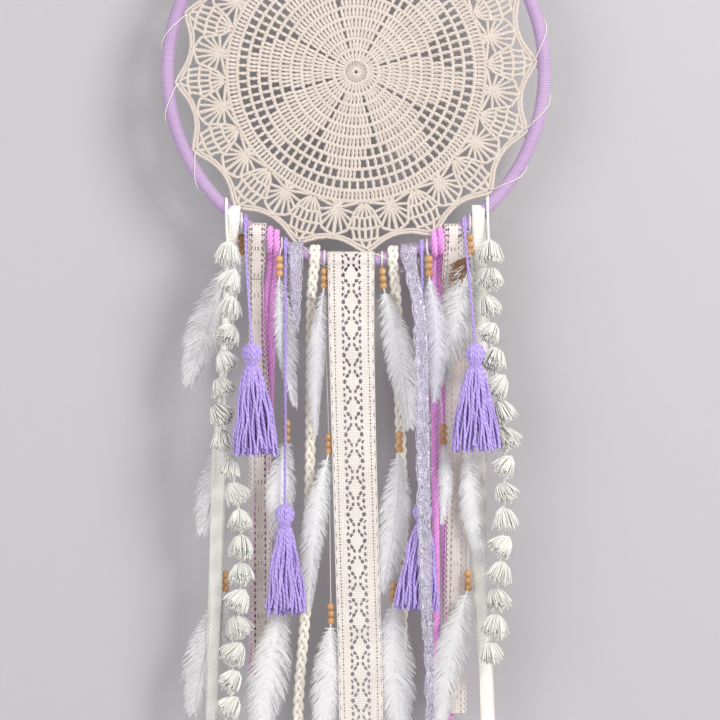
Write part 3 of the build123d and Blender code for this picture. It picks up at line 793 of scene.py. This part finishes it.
IVORY_RIBBON = {
    "ivory_ribbon_left": (-93.6, 8.0, 1.0, hung(
        DEPTH_RIBBON, (-96.5, -322, 5), (-98, -340, 3.6), (-103, -440, 4), (-105.5, -490, 9.5),
        (-107.5, -570, 9), (-110.5, -650, 7.5), (-112, -716, 6))),
    "ivory_ribbon_right": (94.0, 8.0, 1.0, hung(
        DEPTH_RIBBON, (95.5, -345, 9), (96, -420, 9.5), (95, -520, 9.5), (95, -600, 8.5), (100, -650, 8.5),
        (102, -708, 9.5))),
}
METALLIC = {
    "metallic_ribbon_left": (-46.3, 10.6, 1.0, hung(-6.4, (-46.8, -350, 10), (-47.5, -395, 7))),
    "metallic_ribbon_right": (41.0, 13.0, 1.0, [
        (41.8, -13, -345, 10.5), (45, -20.5, -359, 10), (49, -23.5, -380, 10),
        *hung(DEPTH_METAL, (50.5, -420, 10.5), (52, -520, 10.5), (53, -590, 9.5), (55.8, -640, 6),
              (57, -712, 6))]),
}
BRAIDS = {
    "braid_left": (-31.5, 8.4, 2.6, hung(
        DEPTH_BRAID, (-34.5, -370, 8.6), (-35, -470, 8.6), (-36.5, -560, 8.6), (-39, -612, 8.6),
        (-43.5, -664, 9.5), (-46, -722, 14))),
    "braid_right": (28.5, 8.4, 2.6, hung(
        DEPTH_BRAID, (31, -370, 8.6), (33.5, -440, 8.6), (36, -530, 8.6), (36, -600, 8.6), (34.5, -660, 10))),
}


# each kind: strands, cloth cell, thickness, edge pitch, edge reach (mm), pattern, cloth, edge yarn, slot
CLOTH_KINDS = (
    (WIDE_LACE, 0.55, 0.9, 2.5, 0.5, wide_lace_pattern, LACE_WIDE, "lace_thread", "wide_lace"),
    (NARROW_LACE, 0.55, 0.8, 4.1, 1.0, narrow_lace_pattern, LACE_NARROW, "lace_thread", "narrow_lace"),
    (IVORY_RIBBON, 1.2, 0.7, 1.6, 1.0, whole_cloth, RIBBON_IVORY, "picot_cotton", "ivory_ribbon"),
)


def laces_and_ribbons():
    rng = np.random.default_rng(31)
    for group, cell, thick, pitch, reach, pattern, material, yarn, slot in CLOTH_KINDS:
        curl = 0.0 if group is WIDE_LACE else 0.6 * MM
        for name, (x, width, loop, stations) in group.items():
            body = f"{name}_strand"
            line, wide, at = hung_line(x, width, loop, stations)
            band, area = cloth(f"{name}_cloth", line, wide, at, cell * MM, thick * MM, pattern, material,
                               curl)
            fit(band, body, slot, name)
            loops = edge_loops(line, wide, at, pitch * MM, reach * MM, rng)
            edge = thread_piece(f"{name}_edging", loops, YARNS[yarn], 5, body, slot)


def metallic_ribbons():
    """Glittery ribbon: a thin base with loose foil threads running down it and small loops over it."""
    rng = np.random.default_rng(32)
    for name, (x, width, loop, stations) in METALLIC.items():
        line, wide, at = hung_line(x, width, loop, stations)
        band, _ = cloth(f"{name}_base", line, wide * 0.86, at, 2.0 * MM, 0.6 * MM, whole_cloth, TINSEL)
        fit(band, f"{name}_strand", "metallic_ribbon", name)
        across, depth = side_vectors(line)
        outward = np.sign(depth[-1, 1]) * -depth
        made = []
        for k in range(22):
            lane = rng.uniform(-0.5, 0.5) * wide
            swing = 0.9 * MM * np.sin(at / rng.uniform(0.0012, 0.004) + rng.uniform(0, 6))
            lift = 0.5 * MM + 0.45 * MM * np.sin(at / rng.uniform(0.001, 0.002) + rng.uniform(0, 6))
            side = 1 if k % 3 else -1
            run = line + across * (lane + swing)[:, None] + outward * (lift * side)[:, None]
            made.append((run[::2], 0.34 * MM, rng.uniform(0, 1)))
        for k in range(int(at[-1] / (1.5 * MM))):
            here = int(rng.uniform(0, len(line) - 1))
            turn = np.linspace(0, TAU * 0.9, 8)
            size = rng.uniform(0.8, 1.7) * MM
            place = line[here] + across[here] * rng.uniform(-0.52, 0.52) * wide[here]
            place = place + outward[here] * 0.9 * MM
            curl = place + np.outer(size * np.cos(turn), across[here]) + np.outer(size * np.sin(turn), UP)
            made.append((curl, 0.26 * MM, rng.uniform(0, 1)))
        foil = thread_piece(f"{name}_threads", made, TINSEL, 3, f"{name}_strand", "metallic_ribbon")


BRAID_PERIOD = 27 * MM       # length in which a bundle crosses over and back
BRAID_WIDEST = 8.8 * MM
BRAID_LOOP = 44 * MM         # length of the part that goes round the hoop


def braided(line, width, at, rng):
    """Three bundles of cotton plaited along a line."""
    across, depth = side_vectors(line)
    made = []
    for k in range(3):
        turn = TAU * (at / BRAID_PERIOD + k / 3)
        lane = np.sin(turn) * width * 0.31
        lift = np.sin(2 * turn) * 0.95 * MM
        middle = line + across * lane[:, None] + depth * lift[:, None]
        for j in range(5):
            twist = TAU * (j / 5 + at / 0.03)
            thread = middle + across * (np.cos(twist) * 1.05 * MM)[:, None]
            thread = thread + depth * (np.sin(twist) * 0.75 * MM)[:, None]
            made.append((thread[::2], 0.72 * MM, rng.uniform(0.35, 1)))
    return made


def braids():
    rng = np.random.default_rng(33)
    yarn = YARNS["braid_cotton"]
    for name, (x, width, loop, stations) in BRAIDS.items():
        body = f"{name}_strand"
        line, wide, at = hung_line(x, width, loop, stations)
        start = int(BRAID_LOOP / STRAND_STEP)
        joined = start + 6
        wide = np.minimum(wide, BRAID_WIDEST)
        lines = braided(line[:joined], wide[:joined], at[:joined], rng)
        top = thread_piece(f"{name}_loop", lines, yarn, 5, body, "braid_cotton", name)
        lines = braided(line[start:], wide[start:], at[start:], rng)
        plait = thread_piece(f"{name}_plait", lines, yarn, 5, body, "braid_cotton")


ROPE_Y = 8.4
# each rope: x on the hoop, and the (x, z) points that its two ends hang through (mm)
ROPES = {
    "left": (-63.6, [[(-70.6, -366), (-71.3, -428), (-75.5, -520), (-79, -600), (-80.5, -656)],
                     [(-64.7, -366), (-65.3, -428), (-69.4, -520), (-72.6, -600), (-74.2, -648)]]),
    "right": (62.6, [[(59.6, -360), (59.9, -440), (61.2, -520), (62.4, -600), (62.2, -683)],
                     [(65.6, -360), (66.1, -440), (67.3, -520), (69.6, -600), (72.2, -693)]]),
}


def ring_line(x, radius, depth, steps=48, slant=0.0):
    """A turn round the hoop at x (metres), slanting sideways as it goes."""
    turn = np.linspace(0, TAU, steps) - math.pi / 2
    lean = math.cos(hoop_slope(x))
    drift = slant * (turn + math.pi / 2) / TAU
    return np.stack([x + drift, depth * np.cos(turn), hoop_z(x) + radius * np.sin(turn) / lean], axis=1)


def ropes():
    rng = np.random.default_rng(34)
    yarn = YARNS["rope_magenta"]
    for side, (x, lower) in ROPES.items():
        made = []
        for offset in (-2.5, 2.4):
            line = ring_line((x + offset) * MM, 7.6 * MM, 7.6 * MM, slant=0.4 * MM)
            made += plies(line, 3, 1.5 * MM, 1.35 * MM, 11 * MM, rng)
        if side == "left":
            low_z = hoop_z(x * MM) - 10.5 * MM
            turn = np.linspace(0, TAU, 40)
            wrap = np.stack([(x - 0.4) * MM + 5.6 * MM * np.cos(turn), 6.4 * MM + 3.6 * MM * np.sin(turn),
                             low_z + 1.6 * MM * np.cos(turn)], axis=1)
            made += plies(wrap, 3, 0.95 * MM, 1.0 * MM, 11 * MM, rng)
        body = f"rope_{side}_strand"
        loops = thread_piece(f"rope_{side}_loop", made, yarn, 7, body, "rope_yarn", f"rope_{side}")
        for number, (offset, points) in enumerate(zip((-2.95, 2.95), lower)):
            top = hoop_z((x + offset) * MM) / MM
            route = [(x + offset * 0.65, 5.2, top - 5.5), (x + offset, ROPE_Y, top - 20)]
            line = route_line(route + [(px, ROPE_Y, pz) for px, pz in points])
            made = plies(line, 3, 1.62 * MM, 1.42 * MM, 11 * MM, rng, number)
            end = line[-1]
            frayed = []
            for k in range(16):
                away = rng.uniform(-1, 1, 2)
                spread = np.array([away[0] * 3.2, away[1] * 2.4, -9]) * MM
                fray = end + np.outer((0, 0.5, 1), spread) + np.array([away[0], away[1], 3]) * MM * 1.2
                frayed.append((fray, 0.5 * MM, rng.uniform(0, 1)))
            name = f"rope_{side}_{number + 1}"
            fray = thread_piece(f"{name}_fray", frayed, yarn, 5, body, "rope_yarn")
            rope = thread_piece(name, made, yarn, 7, body, "rope_yarn")


# ---- feather strings ----
# each string: x on the hoop, depth, tops of the bead groups, and its feathers from the top down
# (tip x, tip z, width, raggedness, colour, share of the width left of the quill)
STRINGS = {
    "a": (-87.8, 8.6, [(-88.4, -321.8), (-106, -473), (-101, -582)], [
        (-128, -434, 27, 0.6, "white", 0.5), (-118, -549, 22, 0.6, "white", 0.5),
        (-125, -688, 25, 0.6, "white", 0.5)]),
    "b": (-57, -9.8, [(-58.7, -339.2), (-53.4, -465), (-56.2, -592)], [
        (-47.5, -451, 15, 0.5, "grey", 0.3), (-59, -552, 21, 0.3, "white", 0.5),
        (-72, -706, 29, 0.4, "white", 0.5)]),
    "c": (-24.2, -1, [(-24.6, -348.2), (-20.8, -475.5), (-19.4, -606)], [
        (-31, -474, 13, 0.2, "grey", 0.5), (-36, -606, 18, 0.3, "white", 0.5),
        (-29, -709, 24, 0.3, "white", 0.5)]),
    "d": (20, -1, [(20.9, -348.4), (33, -474), (28.6, -589.5)], [
        (41, -468, 22, 0.3, "white", 0.5), (20, -594, 23, 0.3, "white", 0.5),
        (36, -706, 28, 0.3, "white", 0.5)]),
    "e": (54.4, -9.8, [(55.7, -339.2), (66.8, -468)], [
        (60, -448, 16, 0.2, "lilac", 0.5), (65.5, -541, 11, 0.3, "white", 0.5)]),
    "f": (87.6, -1, [(88.2, -322.2), (86.5, -470), (86.1, -580.5)], [
        (57, -438, 27, 0.9, "white", 0.5), (99, -573, 18, 0.3, "white", 0.5),
        (66.5, -697, 24, 0.4, "white", 0.5)]),
}
LEVELS = ("upper", "middle", "lower")
BEHIND = ("b", "lower")      # the one feather that lies behind its string


def loop_threads(x, width, turns, radius, rng):
    """Turns of a thread round the hoop."""
    made = []
    for k in range(turns):
        at = (x + (k - (turns - 1) / 2) * width / turns) * MM
        out = WRAP_R + loop_gap(width) * MM + radius
        made.append((ring_line(at, out, out, 32), radius, rng.uniform(0.3, 1)))
    return made


def feather(root, tip, y, width, wild, left, rng):
    """A quill with barbs down both sides, downy by the root."""
    root = np.array([root[0], y, root[1]]) * MM
    tip = np.array([tip[0], y, tip[1]]) * MM
    length = np.linalg.norm(tip - root)
    down = (tip - root) / length
    across = np.array([-down[2], 0, down[0]])
    bow = 0.045 * length * rng.choice((-1, 1)) * rng.uniform(0.5, 1)

    def quill(t):
        bend = across * (bow * math.sin(t * math.pi)) + np.array([0, -1.2 * MM * math.sin(t * 2.4), 0])
        return root + down * (t * length) + bend

    shaft = np.array([quill(t) for t in np.linspace(-0.02, 0.97, 16)])
    made = [(shaft, np.linspace(0.75, 0.2, 16) * MM, 1.0)]
    for side in (-1, 1):
        count = int(length / MM * 2.6)
        for k in range(count):
            t = 0.05 + 0.95 * (k + rng.uniform(-0.4, 0.4)) / count
            shape = min(1.0, (t / 0.3) ** 0.6) * min(1.0, ((1.02 - t) / 0.55)) ** 0.6
            uneven = 1 + rng.uniform(-0.1, 0.1) * (1 + 3 * wild * (t < 0.6))
            half = width * (left if side < 0 else 1 - left) * MM * shape * uneven
            opening = math.radians(58 - 32 * t + rng.normal(0, 3 + 9 * wild * (1 - t)))
            downy = max(0.0, 0.3 - t) / 0.3
            steps = np.linspace(0, 1, 5)
            forward = half / math.tan(opening) * steps ** 1.35 - half * 0.15 * steps * downy
            wave = rng.normal(0, 1, 3) * MM * (0.35 + 1.6 * downy + 0.5 * wild)
            drift = np.outer(steps ** 1.5, wave * [0.6, 1.4, 0.8])
            line = quill(t) + np.outer(steps * half * side, across) + np.outer(forward, down) + drift
            line[:, 1] += (0.35 * side + 1.5 * steps ** 2 * (0.3 - 0.3 * wild)) * MM
            made.append((line, np.array([0.34, 0.38, 0.34, 0.26, 0.1]) * MM, rng.uniform(0.35, 1)))
    return made


def brown_down(rng):
    """A tuft of brown fluff beside the root of the first feather on the right."""
    made = []
    for k in range(130):
        start = np.array([86.6, -3.0, -338.0]) + rng.normal(0, 0.5, 3)
        end = np.array([rng.uniform(71, 82), -3.6 + rng.normal(0, 1.2), rng.uniform(-364, -342)])
        bend = (start + end) / 2 + rng.normal(0, 1.6, 3)
        made.append((np.array([start, bend, end]) * MM, np.array([0.22, 0.26, 0.12]) * MM, rng.uniform(0, 1)))
    return made


def feather_strings():
    rng = np.random.default_rng(41)
    yarn = YARNS["lacing_cotton"]
    for letter, (x, y, groups, feathers) in STRINGS.items():
        body = f"string_{letter}"
        top = hoop_z(x * MM) / MM
        route = [(x, max(-5.9, min(5.9, y)), top - 0.5)]
        if abs(y) < 5:
            route = [(x, y, top - 5.8)]
        for number, (gx, gz) in enumerate(groups):
            below = (gx + 0.3, y, gz - 15)
            route += [below] if number == 0 and abs(y) < 5 else [(gx, y, gz + 3.8), below]
        line = route_line(route)
        lines = plies(line, 2, 0.2 * MM, 0.3 * MM, 4 * MM, rng)
        cord = thread_piece(f"{body}_thread", lines, yarn, 5, body, "feather_string", f"{body}_cord")
        lines = loop_threads(x, 1.6, 2, 0.4 * MM, rng)
        loop = thread_piece(f"{body}_loop", lines, yarn, 5, body, "feather_string")
        paint(f"{body}_beads", WOOD)
        for level, (gx, gz), (tip_x, tip_z, width, wild, kind, left) in zip(LEVELS, groups, feathers):
            from_string = 1.7 if (letter, level) == BEHIND else -1.7
            lines = feather((gx, gz - 11.5), (tip_x, tip_z), y + from_string, width, wild, left, rng)
            node = f"feather_{letter}_{level}"
            thread_piece(f"{node}_barbs", lines, FEATHERS[kind], 3, body, "feather_vane", node)
    thread_piece("feather_f_down", brown_down(rng), FEATHERS["brown"], 3, "string_f", "feather_vane")


# ---- tassels ----
# each tassel: x on the hoop, depth, (x, z) of its head and of its skirt's foot, the skirt's half width and
# half depth, and the (x, y, z) point that its yarn bends at (mm)
TASSELS = {
    "1": (-84.6, -30, (-78.8, -411), (-75.8, -486), 16, 6.8, (-84.2, -24.5, -338)),
    "2": (-54, -19, (-54.2, -534), (-53.4, -607.5), 14, 5.3, (-53.7, -14.8, -341)),
    "3": (83.2, -30, (90.5, -411.5), (90.4, -483), 17, 6.8, (84.4, -24.5, -338)),
    "4": (50.4, -19, (50.8, -532), (46.2, -604.5), 15.5, 5.3, (50.6, -15.5, -345)),
}
HEAD_R = 7.2
# (height over the head's middle, distance out) of a yarn that goes over the head (mm)
HEAD_PROFILE = ((7.4, 0.5), (6.6, 3.0), (4.4, 5.6), (1.2, 7.0), (-2.5, 6.7), (-5.8, 5.0), (-7.8, 3.2))


def tassel(head, bottom, y, half, depth, rng):
    """Yarns that go over a round head, in at the neck and out in a full skirt, with a binding at the neck;
    the inner yarns are painted darker as shade.
    """
    made = []
    neck_z = head[1] - HEAD_R - 1.5
    outer = 38
    for k in range(outer + 50):
        inner = k >= outer
        turn = TAU * k / outer + rng.uniform(-0.07, 0.07)
        fill = math.sqrt(rng.uniform(0.05, 0.7)) if inner else rng.uniform(0.9, 1.0)
        wide, deep = math.cos(turn) * fill, math.sin(turn) * fill
        line = []
        if not inner:
            for rise, out in HEAD_PROFILE:
                line.append((head[0] + wide * out, y + deep * min(out, depth), head[1] + rise))
        low = rng.uniform(-4.0, 3.0)
        sway = rng.normal(0, 1.0, 4)
        pace = rng.uniform(5, 13)
        for j, t in enumerate(np.linspace(0.02, 1, 16)):
            spread = 3.4 + (half - 2.2) * (t ** 0.62)
            deep_spread = 2.8 + (depth - 2.8) * (t ** 0.6)
            wave = math.sin(t * pace + sway[0] * 3) * (0.7 + 0.4 * abs(sway[1])) * min(1, t * 3)
            line.append((head[0] + (bottom[0] - head[0]) * t + wide * spread + wave,
                         y + deep * deep_spread + math.sin(t * 9 + sway[2] * 3) * 0.6 * min(1, t * 3),
                         neck_z + (bottom[1] + low - neck_z) * t))
        # painted shade: the inner yarns get low shade values, so their colour is painted darker inside the
        # skirt
        made.append((resample(np.array(line) * MM, 2.2 * MM)[0], rng.uniform(0.8, 1.0) * MM,
                     rng.uniform(0, 0.35) if inner else rng.uniform(0.45, 1)))
    for k in range(4):
        turn = np.linspace(0, TAU, 22)
        z = neck_z + (k - 1.4) * 0.7
        ring = np.stack([head[0] + 4.3 * np.cos(turn), y + 3.9 * np.sin(turn),
                         z + 0.4 * np.sin(turn + k)], axis=1)
        made.append((ring * MM, 0.5 * MM, rng.uniform(0.3, 0.9)))
    return made


def tassels():
    rng = np.random.default_rng(51)
    yarn = YARNS["tassel_lilac"]
    for number, (x, y, head, bottom, half, depth, bend) in TASSELS.items():
        name = f"tassel_{number}"
        body = f"tassel_strand_{number}"
        line = route_line([(x, -6, hoop_z(x * MM) / MM), bend, (head[0], y, head[1] + 8.2)])
        lines = plies(line, 2, 0.55 * MM, 0.68 * MM, 9 * MM, rng)
        cord = thread_piece(f"{name}_yarn", lines, yarn, 6, body, "tassel_yarn", f"{name}_cord")
        lines = loop_threads(x, 2.6, 2, 0.85 * MM, rng)
        loop = thread_piece(f"{name}_loop", lines, yarn, 6, body, "tassel_yarn")
        lines = tassel(head, bottom, y, half, depth, rng)
        thread_piece(f"{name}_skirt", lines, yarn, 5, body, "tassel_yarn", name)


# ---- pom fringes ----
# each fringe: x on the hoop, the (x, z) points that its string hangs through (mm), and its count of poms
FRINGES = {
    "left": (-99.5, [(-95.5, -357), (-97, -395), (-103, -440), (-103.5, -472), (-94.5, -503), (-88, -540),
                     (-87.5, -580), (-90.5, -625), (-96, -666), (-96.5, -704)], 19),
    "right": (101, [(103.5, -352), (100.5, -387), (107.5, -430), (114.5, -470), (114, -512), (112, -558),
                    (108, -600), (103, -641)], 16),
}
POM_Y = -16.0
FRINGE_Y = -7.75
FIRST_POM = 34               # way along the string to the first pom (mm)
POM_PITCH = 20.5


def pom(centre, lean, rng):
    """A tuft of cut cotton: fibres from one knot, spreading to a flat cut end."""
    made = []
    axis = np.array([math.sin(lean), rng.uniform(-0.8, 0.0), -math.cos(lean)])
    axis /= np.linalg.norm(axis)
    aside = np.cross(axis, [0.0, 1.0, 0.0])
    aside /= np.linalg.norm(aside)
    front = np.cross(axis, aside)
    size = rng.uniform(1.02, 1.22)
    knot = centre - axis * 8.2 * MM * size
    for k in range(230):
        turn = rng.uniform(0, TAU)
        out = math.sqrt(rng.uniform(0, 1))
        wild = rng.uniform(0, 1) < 0.12
        reach = (16.0 + rng.uniform(-1.0, 0.6) + 1.5 * wild) * MM * size * (1 - 0.28 * out ** 3)
        spread = (8.4 + 1.8 * wild) * MM * size * out
        away = aside * math.cos(turn) + front * math.sin(turn) * 0.85
        steps = np.array([0.0, 0.3, 0.65, 1.0])
        line = knot + np.outer(steps * reach, axis) + np.outer(steps ** 0.48 * spread, away)
        line[1:] += rng.normal(0, 0.3, 3) * MM
        made.append((line, np.array([0.45, 0.55, 0.58, 0.42]) * MM, rng.uniform(0.1, 1)))
    return made


def fringes():
    rng = np.random.default_rng(61)
    yarn = YARNS["pom_cotton"]
    for side, (x, lower, count) in FRINGES.items():
        body = f"pom_fringe_{side}"
        top = hoop_z(x * MM) / MM
        route = [(x, -6, top - 0.5), (x, FRINGE_Y, top - 15)]
        line = route_line(route + [(px, FRINGE_Y, pz) for px, pz in lower])
        lines = plies(line, 2, 0.5 * MM, 0.6 * MM, 4 * MM, rng)
        cord = thread_piece(f"{body}_string", lines, yarn, 5, body, "pom_wool", f"{body}_cord")
        lines = loop_threads(x, 2.0, 2, 0.65 * MM, rng)
        loop = thread_piece(f"{body}_loop", lines, yarn, 5, body, "pom_wool")
        fine, at = resample(line, 0.5 * MM)
        tufts = []
        for k in range(count):
            here = [np.interp((FIRST_POM + POM_PITCH * k) * MM, at, fine[:, axis]) for axis in range(3)]
            here[1] = POM_Y * MM
            tufts += pom(np.array(here), rng.uniform(-0.75, 0.75), rng)
        poms = thread_piece(f"{body}_tufts", tufts, yarn, 3, body, "pom_wool", f"{body}_poms")


# ---- camera, wall, floor and light ----
VIEW_WIDTH = 0.5537
CAMERA_AWAY = 2.2
VIEW_X = 0.0031
VIEW_Z = -0.4164


def stage_plane(name, corners, colour, see_through_back):
    mesh = bpy.data.meshes.new(name)
    mesh.from_pydata(corners, [], [(0, 1, 2, 3)])
    plane = placed(name, mesh)
    shader = Shader(name, 0.9)
    paint = shader.noise(140.0, 4.0)
    low = tuple(c * 0.985 for c in colour)
    shader.colour(shader.mix(paint, low, colour))
    shader.bump(paint, 0.5 * MM, 0.25)
    if see_through_back:
        clear = shader.node("ShaderNodeBsdfTransparent")
        blend = shader.node("ShaderNodeMixShader")
        shader.link(shader.node("ShaderNodeNewGeometry").outputs["Backfacing"], blend.inputs[0])
        shader.link(shader.surface.outputs[0], blend.inputs[1])
        shader.link(clear.outputs[0], blend.inputs[2])
        shader.link(blend.outputs[0], shader.tree.nodes["Material Output"].inputs["Surface"])
    mesh.materials.append(shader.material)


def area_light(name, place, aim, size, power, colour):
    data = bpy.data.lights.new(name, "AREA")
    data.shape = "DISK"
    data.size = size
    data.energy = power
    data.color = colour
    lamp = placed(name, data)
    lamp.location = place
    direction = np.array(aim) - np.array(place)
    flat = math.hypot(direction[0], direction[1])
    lamp.rotation_euler = (math.atan2(flat, -direction[2]), 0, math.atan2(-direction[0], direction[1]))


def studio():
    back = 0.045
    ground = -1.1
    wall = [(-4, back, ground), (4, back, ground), (4, back, 3), (-4, back, 3)]
    floor = [(-4, -4, ground), (4, -4, ground), (4, 4, ground), (-4, 4, ground)]
    stage_plane("wall", wall, (0.505, 0.496, 0.508), True)
    stage_plane("floor", floor, (0.60, 0.595, 0.60), False)
    area_light("key", (1.5, -1.7, 0.7), (0, 0, -0.4), 1.1, 44, (1.0, 0.985, 0.97))
    area_light("fill", (-1.6, -2.2, -0.2), (0, 0, -0.4), 2.0, 24, (0.98, 0.98, 1.0))
    world = bpy.data.worlds.new("room")
    world.use_nodes = True
    sky = world.node_tree.nodes["Background"].inputs
    sky["Color"].default_value = (0.93, 0.93, 0.96, 1)
    sky["Strength"].default_value = 0.66
    bpy.context.scene.world = world
    bpy.context.scene.view_settings.view_transform = "Standard"
    data = bpy.data.cameras.new("camera")
    data.sensor_width = 36
    data.lens = 36 * CAMERA_AWAY / VIEW_WIDTH
    camera = placed("camera", data)
    camera.location = (VIEW_X, -CAMERA_AWAY, VIEW_Z)
    camera.rotation_euler = (math.pi / 2, 0, 0)
    bpy.context.scene.camera = camera


# ---- making everything ----
studio()
hoop_yarn()
hanging_loop()
doily()
lacing()
laces_and_ribbons()
metallic_ribbons()
braids()
ropes()
feather_strings()
tassels()
fringes()
